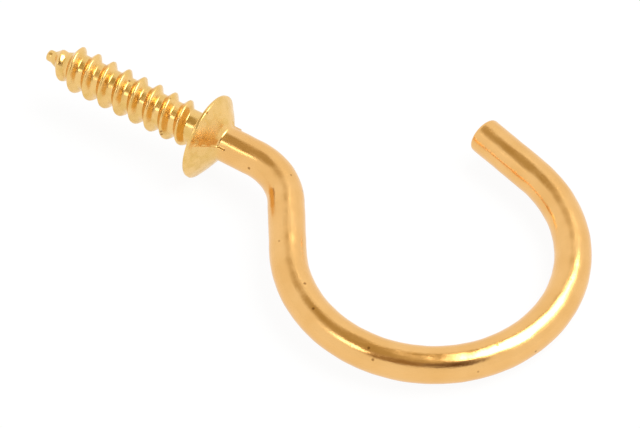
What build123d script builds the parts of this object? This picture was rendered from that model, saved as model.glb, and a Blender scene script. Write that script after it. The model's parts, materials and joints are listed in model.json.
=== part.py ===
from build123d import *
import os
from math import atan2, cos, sin, sqrt

# A shouldered cup hook: one length of brass-plated wire with a point and a right-hand
# wood-screw thread rolled on one end, a collar headed up from the wire, and the rest
# bent into an open bow. It is one piece of metal, so it is one solid.
#
# It is drawn in the hook's own frame: the centre of the collar's seat is the origin, +X
# runs along the screw's axis from the seat into the hook, and the wire's centreline lies
# in the XY plane. The last step lays it on its side, as it rests on a table.

# Wire and its bends, measured on the wire's centreline
wire_diameter = 2.8
shank_length = 4.2
neck_bend_radius = 5.1
neck_bend_angle = 56.3
neck_straight = 4.65
bow_radius = 10.6
tip_straight = 5.25
tip_flare_angle = 14.9
tip_edge_round = 0.25

# Collar, from its flat seat to where its flank meets the wire
collar_diameter = 6.8
collar_rim = 0.24
collar_brow_diameter = 5.2
collar_brow_height = 0.62
collar_height = 1.55

# Screw
screw_length = 14.4
core_diameter = 2.58
seat_fillet = 0.52
point_length = 2.3
point_diameter = 0.9

# Thread: one ridge with sloping flanks, its widths measured along the screw
crest_diameter = 3.56
thread_pitch = 1.39
crest_width = 0.12
flank_to_collar = 0.42
flank_to_point = 0.45
ridge_sunk = 0.12
plain_neck = 1.4
run_out = 0.7

# Metal left past the point, and over the crest and the plain neck, where the trimming starts
trim_end = 1.0
trim_crest = 0.1
trim_neck = 0.02

wire_radius = wire_diameter / 2
collar_radius = collar_diameter / 2
core_radius = core_diameter / 2
crest_radius = crest_diameter / 2
point_radius = point_diameter / 2
bow_turn = 180 + neck_bend_angle - tip_flare_angle

# Wire: straight shank, neck bend to one side, straight rise, the bow turning back the
# other way past a half turn, and the straight tip with its edge broken
with BuildPart() as wire:
    with BuildLine():
        shank = Line((0, 0), (shank_length, 0))
        neck = JernArc(shank @ 1, shank % 1, neck_bend_radius, -neck_bend_angle)
        rise = PolarLine(neck @ 1, neck_straight, direction=neck % 1)
        bow = JernArc(rise @ 1, rise % 1, bow_radius, bow_turn)
        tip = PolarLine(bow @ 1, tip_straight, direction=bow % 1)
    with BuildSketch(Plane.YZ):
        Circle(wire_radius)
    sweep()
    cut_end = wire.faces().filter_by(GeomType.PLANE).sort_by_distance(tip @ 1)[0]
    fillet(cut_end.edges(), tip_edge_round)

# Collar: flat seat towards the screw, thin rim, and a flank that steepens to the wire
with BuildPart() as collar:
    with BuildSketch():
        with BuildLine():
            seat = Line((0, 0), (0, collar_radius))
            rim = Line(seat @ 1, (collar_rim, collar_radius))
            brow = Line(rim @ 1, (collar_brow_height, collar_brow_diameter / 2))
            flank = Line(brow @ 1, (collar_height, wire_radius))
            Polyline(flank @ 1, (collar_height, 0), seat @ 0)
        make_face()
    revolve(axis=Axis.X)

# Screw: a round core with the thread's ridge swept along a right-hand helix, its foot
# sunk in the core. Both are trimmed together, to the point and to where the ridge dies away.
with BuildPart() as screw:
    with Locations(Plane(origin=(0, 0, 0), z_dir=(-1, 0, 0))):
        Cylinder(core_radius, screw_length + trim_end, align=(Align.CENTER, Align.CENTER, Align.MIN))
    foot_radius = core_radius - ridge_sunk
    foot_widening = 1 + ridge_sunk / (crest_radius - core_radius)
    to_collar = crest_width / 2 + flank_to_collar * foot_widening
    to_point = crest_width / 2 + flank_to_point * foot_widening
    with BuildLine() as helix:
        Helix(
            pitch=thread_pitch,
            height=screw_length - plain_neck + trim_end,
            radius=foot_radius,
            center=(-plain_neck, 0, 0),
            direction=(-1, 0, 0),
        )
    with BuildSketch(Plane(origin=helix.line @ 0, x_dir=(-1, 0, 0), z_dir=helix.line % 0)):
        with BuildLine():
            Polyline(
                (-to_collar, -ridge_sunk),
                (-to_collar, 0),
                (-crest_width / 2, crest_radius - foot_radius),
                (crest_width / 2, crest_radius - foot_radius),
                (to_point, 0),
                (to_point, -ridge_sunk),
                close=True,
            )
        make_face()
    sweep(is_frenet=True)
    cone_slope = (core_radius - point_radius) / point_length
    trim_radius = crest_radius + trim_crest
    with BuildSketch():
        with BuildLine():
            Polyline(
                (-screw_length, 0),
                (-screw_length, point_radius),
                (-screw_length + (trim_radius - point_radius) / cone_slope, trim_radius),
                (-plain_neck - run_out, trim_radius),
                (-plain_neck, core_radius + trim_neck),
                (0, core_radius + trim_neck),
                (0, 0),
                close=True,
            )
        make_face()
    revolve(axis=Axis.X, mode=Mode.INTERSECT)

with BuildPart() as hook:
    add(wire.part)
    add(collar.part)
    add(screw.part)
    seat_corner = hook.edges().filter_by_position(Axis.X, -0.01, 0.01).sort_by(SortBy.LENGTH)[0]
    fillet(seat_corner, seat_fillet)

# Lying at rest: the hook touches the table at the collar's rim and at one place under
# the bow, and rolls until its balance point is over the line through the two contacts
balance = hook.part.center(CenterOf.MASS)
bow_centre = bow.arc_center
heading = atan2(balance.Y, balance.X)
along = bow_centre.X * cos(heading) + bow_centre.Y * sin(heading)
aside = bow_centre.X * sin(heading) - bow_centre.Y * cos(heading)
reach = along + sqrt(bow_radius**2 - aside**2)
contact = Vector(reach * cos(heading), reach * sin(heading))
outward = (contact - bow_centre).normalized()
slope = (collar_radius - wire_radius) / (bow_radius + bow_centre.dot(outward))
table = Plane(origin=(0, 0, 0), x_dir=(1, 0, 0), z_dir=Vector(0, 0, 1) - outward * slope)

with BuildPart() as cup_hook:
    add(table.to_local_coords(hook.part))
cup_hook.part.label = "cup_hook"

os.makedirs("parts", exist_ok=True)
export_step(cup_hook.part, "parts/cup_hook.step")
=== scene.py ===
import json
import math

import bpy
import numpy as np
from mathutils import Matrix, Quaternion, Vector


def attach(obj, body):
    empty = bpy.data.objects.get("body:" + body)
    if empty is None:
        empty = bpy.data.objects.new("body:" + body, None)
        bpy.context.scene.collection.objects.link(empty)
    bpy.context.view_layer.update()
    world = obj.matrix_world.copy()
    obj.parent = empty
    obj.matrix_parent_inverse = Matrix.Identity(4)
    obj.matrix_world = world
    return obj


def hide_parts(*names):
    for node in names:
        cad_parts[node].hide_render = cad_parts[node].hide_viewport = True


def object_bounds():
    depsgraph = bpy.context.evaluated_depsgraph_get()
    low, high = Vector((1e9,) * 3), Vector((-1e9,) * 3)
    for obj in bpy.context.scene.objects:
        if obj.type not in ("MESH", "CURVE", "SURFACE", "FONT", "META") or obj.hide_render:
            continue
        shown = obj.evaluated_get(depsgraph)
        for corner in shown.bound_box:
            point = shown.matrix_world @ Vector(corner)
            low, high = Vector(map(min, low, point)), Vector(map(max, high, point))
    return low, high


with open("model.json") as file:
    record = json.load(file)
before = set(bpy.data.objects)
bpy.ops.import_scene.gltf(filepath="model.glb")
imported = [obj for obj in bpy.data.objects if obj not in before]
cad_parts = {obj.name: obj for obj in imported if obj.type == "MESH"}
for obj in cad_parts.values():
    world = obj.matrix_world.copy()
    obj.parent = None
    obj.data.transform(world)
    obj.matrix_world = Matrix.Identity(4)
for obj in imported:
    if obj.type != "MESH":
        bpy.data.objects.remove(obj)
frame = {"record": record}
cad_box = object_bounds()

# Sizes are in millimetres in the hook's own frame: the centre of the collar's seat is the
# origin, +X runs along the screw's axis into the hook, and the wire's centreline is in XY.
MM = 0.001

# Wire and its bends
WIRE_RADIUS = 1.4
SHANK_LENGTH = 4.2
NECK_BEND_RADIUS = 5.1
NECK_BEND_ANGLE = math.radians(56.3)
NECK_STRAIGHT = 4.65
BOW_RADIUS = 10.6
TIP_STRAIGHT = 5.25
TIP_FLARE = math.radians(14.9)
TIP_EDGE_ROUND = 0.25
TIP_DISH = 0.03

# Collar
COLLAR_RADIUS = 3.4
COLLAR_RIM = 0.24
COLLAR_HEIGHT = 1.55
COLLAR_EDGE_ROUND = 0.09
COLLAR_OFF_CENTRE = 0.16
SHIFT_START = 1.8
FLANK_START = 1.15
FLANK_BLEND = 0.07
COLLAR_END = 2.3

# Marks of the heading die on the collar: fins as angle round the wire in degrees, the radii
# where they start and stop, and height; and a low step where the shank begins
DIE_FINS = ((147, 1.2, 3.2, 0.16), (33, 1.2, 1.9, 0.12), (-33, 1.2, 3.0, 0.06))
FIN_WIDTH = 0.08
STEP_PLACE = 1.5
STEP_WIDTH = 0.1
STEP_HEIGHT = 0.05

# Screw and its thread
SCREW_LENGTH = 14.4
CORE_RADIUS = 1.29
CREST_RADIUS = 1.78
THREAD_PITCH = 1.39
PLAIN_NECK = 1.4
CREST_WIDTH = 0.10
FLANK_TO_COLLAR = 0.42
FLANK_TO_POINT = 0.45
RUN_IN_START = 0.2
RUN_IN_END = 2.1
RUN_OUT_START = 1.9
RUN_OUT_END = 1.0
SEAT_FILLET = 0.52
POINT_LENGTH = 2.5
POINT_STUB = 0.45
POINT_RADIUS = 0.45
POINT_ROUND = 0.16

# Mesh density: places round the section, and steps along the screw and the wire
SIDES = 144
SCREW_STEP = 0.04
WIRE_STEP = 0.3

PHI = np.linspace(0, 2 * math.pi, SIDES, endpoint=False)


def smooth(low, high, value):
    """0 below low, 1 above high, and an S curve between."""
    t = np.clip((value - low) / (high - low), 0, 1)
    return t * t * (3 - 2 * t)


def ridge(x):
    """Height of the thread's ridge at x, all round the core. The thread is right-handed."""
    start = -PLAIN_NECK + THREAD_PITCH * (PHI + math.pi / 2) / (2 * math.pi)
    from_crest = (x - start + THREAD_PITCH / 2) % THREAD_PITCH - THREAD_PITCH / 2
    crest = x - from_crest
    flank = np.where(from_crest > 0, FLANK_TO_COLLAR, FLANK_TO_POINT)
    rise = 1 - np.clip((np.abs(from_crest) - CREST_WIDTH / 2) / flank, 0, 1)
    rise = 0.6 * rise + 0.4 * smooth(0, 1, rise)
    run_in = smooth(RUN_IN_START, RUN_IN_END, crest + SCREW_LENGTH)
    run_out = smooth(RUN_OUT_END, RUN_OUT_START, -crest)
    return (CREST_RADIUS - CORE_RADIUS) * rise * (run_in * run_out)


def die_marks(x, radius):
    """Thin fins on the collar's flank, where the halves of the heading die met, and a step."""
    height = np.zeros(SIDES)
    for angle, inner, outer, fin in DIE_FINS:
        turn = (PHI - math.radians(angle) + math.pi) % (2 * math.pi) - math.pi
        reach = smooth(inner, inner + 0.2, radius) * (1 - smooth(outer - 0.3, outer, radius))
        lumps = 0.75 + 0.25 * math.sin(9 * radius)
        height += fin * lumps * reach * np.exp(-((turn * radius / FIN_WIDTH) ** 2))
    step = smooth(35, 60, np.degrees(PHI)) * (1 - smooth(115, 140, np.degrees(PHI)))
    return height + STEP_HEIGHT * step * np.exp(-(((x - STEP_PLACE) / STEP_WIDTH) ** 2))


def off_centre(radius):
    """The collar sits a little to one side of the wire, away from the tip."""
    return -COLLAR_OFF_CENTRE * np.cos(PHI) * smooth(SHIFT_START, COLLAR_RADIUS, radius)


def waviness(along):
    """Faint unevenness of drawn and bent wire."""
    return (
        0.005 * np.sin(along * 1.7 + 2 * PHI)
        + 0.004 * np.sin(along * 3.1 - PHI + 1.0)
        + 0.003 * np.sin(along * 5.3 + 3 * PHI + 2.0)
    )


def point_rings():
    """The blunt end of the point: x and radius, from the middle of the end outwards."""
    yield -SCREW_LENGTH, np.full(SIDES, 0.5 * (POINT_RADIUS - POINT_ROUND))
    for angle in np.linspace(0, math.pi / 2, 5):
        x = -SCREW_LENGTH + POINT_ROUND * (1 - math.cos(angle))
        yield x, np.full(SIDES, POINT_RADIUS - POINT_ROUND * (1 - math.sin(angle)))


def screw_rings():
    """The core with its thread, from the point to the fillet under the collar."""
    for x in np.arange(-SCREW_LENGTH + 2 * POINT_ROUND, -SEAT_FILLET, SCREW_STEP):
        grown = np.clip((x + SCREW_LENGTH - POINT_STUB) / (POINT_LENGTH - POINT_STUB), 0, 1)
        core = POINT_RADIUS + (CORE_RADIUS - POINT_RADIUS) * grown
        yield x, core + ridge(x)


def collar_rings():
    """Fillet, flat seat, rim and flank of the collar, to where the wire is plain again."""
    for angle in np.linspace(0, math.pi / 2, 7):
        x = SEAT_FILLET * (math.sin(angle) - 1)
        yield x, np.full(SIDES, CORE_RADIUS + SEAT_FILLET * (1 - math.cos(angle)))
    for radius in (2.1, 2.5, 2.9, 3.2):
        yield 0, radius + off_centre(radius)
    for angle in np.linspace(0, math.pi / 2, 6):
        x = COLLAR_EDGE_ROUND * (1 - math.cos(angle))
        radius = COLLAR_RADIUS - COLLAR_EDGE_ROUND * (1 - math.sin(angle))
        yield x, radius + off_centre(radius)
    for x in np.concatenate((np.linspace(0.2, 0.5, 10), np.arange(0.55, COLLAR_END, 0.05))):
        done = (x - COLLAR_RIM) / (COLLAR_HEIGHT - COLLAR_RIM)
        curve = 1 - FLANK_START
        t = (math.sqrt(FLANK_START**2 + 4 * curve * max(done, 0)) - FLANK_START) / (2 * curve)
        line = COLLAR_RADIUS - t * (COLLAR_RADIUS - WIRE_RADIUS)
        radius = WIRE_RADIUS + FLANK_BLEND * math.log1p(math.exp((line - WIRE_RADIUS) / FLANK_BLEND))
        radius = min(radius, COLLAR_RADIUS)
        yield x, radius + off_centre(radius) + die_marks(x, radius)


def centreline():
    """Place and direction of the wire's centreline, from the collar to the cut end."""
    runs = (
        (SHANK_LENGTH - COLLAR_END, 0),
        (NECK_BEND_RADIUS * NECK_BEND_ANGLE, -1 / NECK_BEND_RADIUS),
        (NECK_STRAIGHT, 0),
        (BOW_RADIUS * (math.pi + NECK_BEND_ANGLE - TIP_FLARE), 1 / BOW_RADIUS),
        (TIP_STRAIGHT - TIP_EDGE_ROUND, 0),
    )
    place, heading, along = np.array((COLLAR_END, 0.0)), 0.0, 0.0
    for length, curvature in runs:
        steps = math.ceil(length / WIRE_STEP)
        for _ in range(steps):
            yield place, heading, along
            turn = curvature * length / steps
            chord = length / steps * (math.sin(turn / 2) / (turn / 2) if turn else 1)
            middle = heading + turn / 2
            place = place + chord * np.array((math.cos(middle), math.sin(middle)))
            heading, along = heading + turn, along + length / steps
    yield place, heading, along


def ring(place, heading, radius, ahead=0.0):
    """One section's vertices: the angle round it starts across the hook's plane's +Y side."""
    along = np.array((math.cos(heading), math.sin(heading), 0))
    side = np.array((-math.sin(heading), math.cos(heading), 0))
    up = np.array((0, 0, 1))
    centre = np.array((*place, 0)) + ahead * along
    around = np.outer(np.cos(PHI), side) + np.outer(np.sin(PHI), up)
    return centre + around * np.reshape(radius, (-1, 1))


def hook_sections():
    """All sections of the hook, from the point to the middle of the cut end."""
    sections = []
    for rings in (point_rings(), screw_rings(), collar_rings()):
        sections += [ring((x, 0), 0, radius) for x, radius in rings]
    stations = list(centreline())
    for place, heading, along in stations:
        wave = waviness(along) * smooth(0, 1, along)
        sections.append(ring(place, heading, WIRE_RADIUS + wave))
    place, heading, along = stations[-1]
    for angle in np.linspace(0, math.pi / 2, 7)[1:]:
        radius = WIRE_RADIUS - TIP_EDGE_ROUND * (1 - math.cos(angle)) + waviness(along) * math.cos(angle)
        sections.append(ring(place, heading, radius, TIP_EDGE_ROUND * math.sin(angle)))
    for share in (0.75, 0.5, 0.25):
        radius = np.full(SIDES, WIRE_RADIUS * share)
        sections.append(ring(place, heading, radius, TIP_EDGE_ROUND - TIP_DISH * (1 - share**2)))
    return sections


def hook_frame():
    """The hook's axes and origin in the row's frame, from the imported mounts."""
    mounts = {mount["name"]: mount for mount in frame["record"]["mounts"]}
    x_axis = -np.array(mounts["seat"]["axis"], float)
    z_axis = np.array(mounts["bow"]["axis"], float)
    x_axis /= np.linalg.norm(x_axis)
    y_axis = np.cross(z_axis, x_axis)
    y_axis /= np.linalg.norm(y_axis)
    axes = np.array((x_axis, y_axis, np.cross(x_axis, y_axis)))
    return axes, np.array(mounts["seat"]["pos_m"], float)


def skin(count):
    """Faces over so many sections, closed at both ends by a fan round one more vertex each."""
    faces = []
    for row in range(count - 1):
        for side in range(SIDES):
            after = (side + 1) % SIDES
            low, high = row * SIDES, (row + 1) * SIDES
            faces.append((low + side, low + after, high + after, high + side))
    first, last = count * SIDES, count * SIDES + 1
    top = (count - 1) * SIDES
    for side in range(SIDES):
        after = (side + 1) % SIDES
        faces.append((first, after, side))
        faces.append((last, top + side, top + after))
    return faces


def drawn_places(sections):
    """Each vertex's place as if the hook were drawn straight: length, and cosine and sine round."""
    count = len(sections)
    centres = np.array([section.mean(axis=0) for section in sections])
    along = np.cumsum(np.linalg.norm(np.diff(centres, axis=0, prepend=centres[:1]), axis=1))
    drawn = np.zeros((count * SIDES + 2, 3))
    drawn[:-2, 0] = np.repeat(along, SIDES)
    drawn[:-2, 1] = np.tile(np.cos(PHI), count)
    drawn[:-2, 2] = np.tile(np.sin(PHI), count)
    drawn[-1, 0] = along[-1]
    return drawn


def make_hook():
    """One closed mesh of the whole hook, with its straightened places for the material."""
    sections = hook_sections()
    axes, origin = hook_frame()
    ends = [sections[0].mean(axis=0), sections[-1].mean(axis=0)]
    points = np.vstack(sections + ends) * MM @ axes + origin
    mesh = bpy.data.meshes.new("cup_hook_body")
    mesh.from_pydata(points.tolist(), [], skin(len(sections)))
    drawn = drawn_places(sections)
    mesh.attributes.new("drawn", "FLOAT_VECTOR", "POINT").data.foreach_set("vector", drawn.ravel())
    mesh.shade_smooth()
    mesh.validate()
    body = bpy.data.objects.new("cup_hook_body", mesh)
    bpy.context.scene.collection.objects.link(body)
    return body


def brass_material():
    """Bright brass plate with an uneven tone, lengthwise streaks in its gloss and a few small
    pits. The screw and the collar are yellower and speckled."""
    material = bpy.data.materials.new("brass_plate")
    material.use_nodes = True
    nodes, links = material.node_tree.nodes, material.node_tree.links
    shader = nodes["Principled BSDF"]
    shader.inputs["Metallic"].default_value = 1.0
    place = nodes.new("ShaderNodeTexCoord").outputs["Object"]

    drawn = nodes.new("ShaderNodeAttribute")
    drawn.attribute_name = "drawn"
    lengthwise = nodes.new("ShaderNodeVectorMath")
    lengthwise.operation = "MULTIPLY"
    lengthwise.inputs[1].default_value = (0.12, 1.4, 1.4)
    links.new(drawn.outputs["Vector"], lengthwise.inputs[0])

    def noise(scale, detail, vector=place):
        node = nodes.new("ShaderNodeTexNoise")
        node.inputs["Scale"].default_value = scale
        node.inputs["Detail"].default_value = detail
        links.new(vector, node.inputs["Vector"])
        return node.outputs["Fac"]

    def spread(value, low, high, to_low, to_high):
        node = nodes.new("ShaderNodeMapRange")
        node.inputs["From Min"].default_value = low
        node.inputs["From Max"].default_value = high
        node.inputs["To Min"].default_value = to_low
        node.inputs["To Max"].default_value = to_high
        links.new(value, node.inputs["Value"])
        return node.outputs["Result"]

    def blend(factor, first, second):
        node = nodes.new("ShaderNodeMix")
        node.data_type = "RGBA"
        links.new(factor, node.inputs["Factor"])
        for value, socket in ((first, node.inputs["A"]), (second, node.inputs["B"])):
            if isinstance(value, tuple):
                socket.default_value = value
            else:
                links.new(value, socket)
        return node.outputs["Result"]

    def bump(height, depth, normal=None):
        node = nodes.new("ShaderNodeBump")
        node.inputs["Strength"].default_value = 1.0
        node.inputs["Distance"].default_value = depth
        links.new(height, node.inputs["Height"])
        if normal:
            links.new(normal, node.inputs["Normal"])
        return node.outputs["Normal"]

    pits = nodes.new("ShaderNodeTexVoronoi")
    pits.inputs["Scale"].default_value = 700
    links.new(place, pits.inputs["Vector"])
    pit = spread(pits.outputs["Distance"], 0.05, 0.1, 1, 0)
    axes = nodes.new("ShaderNodeSeparateXYZ")
    links.new(place, axes.inputs["Vector"])
    headed = spread(axes.outputs["X"], 0.0014, 0.0022, 1, 0)

    clouds = spread(noise(450, 3), 0.35, 0.65, 0, 1)
    tone = blend(clouds, (0.88, 0.52, 0.195, 1), (0.84, 0.48, 0.165, 1))
    speckle = spread(noise(1300, 3), 0.42, 0.62, 0, 1)
    gold = blend(speckle, (0.875, 0.57, 0.21, 1), (0.80, 0.515, 0.16, 1))
    tone = blend(headed, tone, gold)
    links.new(blend(pit, tone, (0.42, 0.21, 0.06, 1)), shader.inputs["Base Color"])

    gloss = nodes.new("ShaderNodeMath")
    gloss.operation = "MULTIPLY_ADD"
    streaks = noise(3.5, 4, lengthwise.outputs["Vector"])
    links.new(headed, gloss.inputs[0])
    links.new(spread(noise(2600, 2), 0.42, 0.62, 0, 0.14), gloss.inputs[1])
    links.new(spread(streaks, 0.3, 0.7, 0.15, 0.26), gloss.inputs[2])
    links.new(gloss.outputs["Value"], shader.inputs["Roughness"])

    grain = bump(noise(4500, 2), 4e-6, bump(noise(900, 2), 8e-6, bump(streaks, 1.2e-5)))
    links.new(grain, shader.inputs["Normal"])
    return material


def direction(azimuth, elevation):
    """Unit vector to a place in the surroundings: azimuth from +X towards +Y, in degrees."""
    azimuth, elevation = math.radians(azimuth), math.radians(elevation)
    level = math.cos(elevation)
    return Vector((level * math.cos(azimuth), level * math.sin(azimuth), math.sin(elevation)))


def make_world():
    """A white studio tent: dimmer overhead, brighter round the key light, and dark where the
    camera looks in."""
    world = bpy.data.worlds.new("studio")
    bpy.context.scene.world = world
    world.use_nodes = True
    nodes, links = world.node_tree.nodes, world.node_tree.links
    nodes.clear()
    way = nodes.new("ShaderNodeTexCoord").outputs["Generated"]

    def patch(colour, toward, inner, outer, shade):
        """The colour so far, changed to shade within some degrees of a direction."""
        dot = nodes.new("ShaderNodeVectorMath")
        dot.operation = "DOT_PRODUCT"
        dot.inputs[1].default_value = toward
        links.new(way, dot.inputs[0])
        edge = nodes.new("ShaderNodeMapRange")
        edge.interpolation_type = "SMOOTHSTEP"
        edge.inputs["From Min"].default_value = math.cos(math.radians(outer))
        edge.inputs["From Max"].default_value = math.cos(math.radians(inner))
        links.new(dot.outputs["Value"], edge.inputs["Value"])
        mix = nodes.new("ShaderNodeMix")
        mix.data_type = "RGBA"
        links.new(edge.outputs["Result"], mix.inputs["Factor"])
        if isinstance(colour, tuple):
            mix.inputs["A"].default_value = colour
        else:
            links.new(colour, mix.inputs["A"])
        mix.inputs["B"].default_value = shade
        return mix.outputs["Result"]

    colour = patch((1, 1, 1, 1), direction(0, 90), 24, 40, (0.47, 0.375, 0.19, 1))
    colour = patch(colour, direction(38, 58), 14, 28, (1.7, 1.7, 1.7, 1))
    colour = patch(colour, direction(-82, 52), 10, 22, (0.30, 0.19, 0.07, 1))
    colour = patch(colour, direction(-37, 46), 13, 19, (0.12, 0.055, 0.014, 1))
    studio = nodes.new("ShaderNodeBackground")
    links.new(colour, studio.inputs["Color"])
    backdrop = nodes.new("ShaderNodeBackground")
    backdrop.inputs["Color"].default_value = (1, 1, 1, 1)
    rays = nodes.new("ShaderNodeLightPath")
    mix = nodes.new("ShaderNodeMixShader")
    output = nodes.new("ShaderNodeOutputWorld")
    links.new(rays.outputs["Is Camera Ray"], mix.inputs["Fac"])
    links.new(studio.outputs["Background"], mix.inputs[1])
    links.new(backdrop.outputs["Background"], mix.inputs[2])
    links.new(mix.outputs["Shader"], output.inputs["Surface"])


def make_lamp(name, azimuth, elevation, width, height, radiance):
    """A softbox that spans some degrees as seen from the object."""
    distance = 0.45
    lamp = bpy.data.lights.new(name, "AREA")
    lamp.shape = "RECTANGLE"
    lamp.size = 2 * distance * math.tan(math.radians(width / 2))
    lamp.size_y = 2 * distance * math.tan(math.radians(height / 2))
    lamp.energy = radiance * math.pi * lamp.size * lamp.size_y
    holder = bpy.data.objects.new(name, lamp)
    away = direction(azimuth, elevation)
    holder.location = away * distance
    holder.rotation_euler = away.to_track_quat("Z", "Y").to_euler()
    bpy.context.scene.collection.objects.link(holder)


def make_floor():
    """A white floor: bright to the camera and in reflections, with the hook's soft shadow."""
    bpy.ops.mesh.primitive_plane_add(size=4, location=(0, 0, cad_box[0].z))
    floor = bpy.context.object
    floor.name = "floor"
    material = bpy.data.materials.new("floor")
    material.use_nodes = True
    nodes, links = material.node_tree.nodes, material.node_tree.links
    nodes.clear()
    rays = nodes.new("ShaderNodeLightPath")
    matte = nodes.new("ShaderNodeBsdfDiffuse")
    matte.inputs["Color"].default_value = (0.9, 0.9, 0.9, 1)
    glow = nodes.new("ShaderNodeEmission")
    glow.inputs["Color"].default_value = (1, 1, 1, 1)
    seen = nodes.new("ShaderNodeMath")
    seen.operation = "MAXIMUM"
    links.new(rays.outputs["Is Camera Ray"], seen.inputs[0])
    links.new(rays.outputs["Is Glossy Ray"], seen.inputs[1])
    share = nodes.new("ShaderNodeMath")
    share.operation = "MULTIPLY"
    share.inputs[1].default_value = 0.93
    links.new(seen.outputs["Value"], share.inputs[0])
    mix = nodes.new("ShaderNodeMixShader")
    links.new(share.outputs["Value"], mix.inputs["Fac"])
    links.new(matte.outputs["BSDF"], mix.inputs[1])
    links.new(glow.outputs["Emission"], mix.inputs[2])
    output = nodes.new("ShaderNodeOutputMaterial")
    links.new(mix.outputs["Shader"], output.inputs["Surface"])
    floor.data.materials.append(material)


def make_camera():
    """A long lens that looks down on the hook."""
    azimuth, elevation, roll = -56.63, 49.42, -2.08
    distance = 377.8 * MM
    target = Vector((9.563, 0.550, -4.113)) * MM
    camera = bpy.data.cameras.new("camera")
    camera.lens = 281.25
    camera.sensor_width = 36
    camera.clip_start = 0.01
    holder = bpy.data.objects.new("camera", camera)
    away = direction(azimuth, elevation)
    holder.location = target + away * distance
    aim = away.to_track_quat("Z", "Y") @ Quaternion((0, 0, 1), math.radians(roll))
    holder.rotation_euler = aim.to_euler()
    bpy.context.scene.collection.objects.link(holder)
    bpy.context.scene.camera = holder


hook = make_hook()
hook.data.materials.append(brass_material())
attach(hook, "root")
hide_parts("cup_hook")

make_world()
make_lamp("key_softbox", 38, 60, 44, 31, 5.5)
make_lamp("side_softbox", -110, 51, 15, 9, 3.5)
make_floor()
make_camera()
bpy.context.scene.view_settings.view_transform = "Standard"
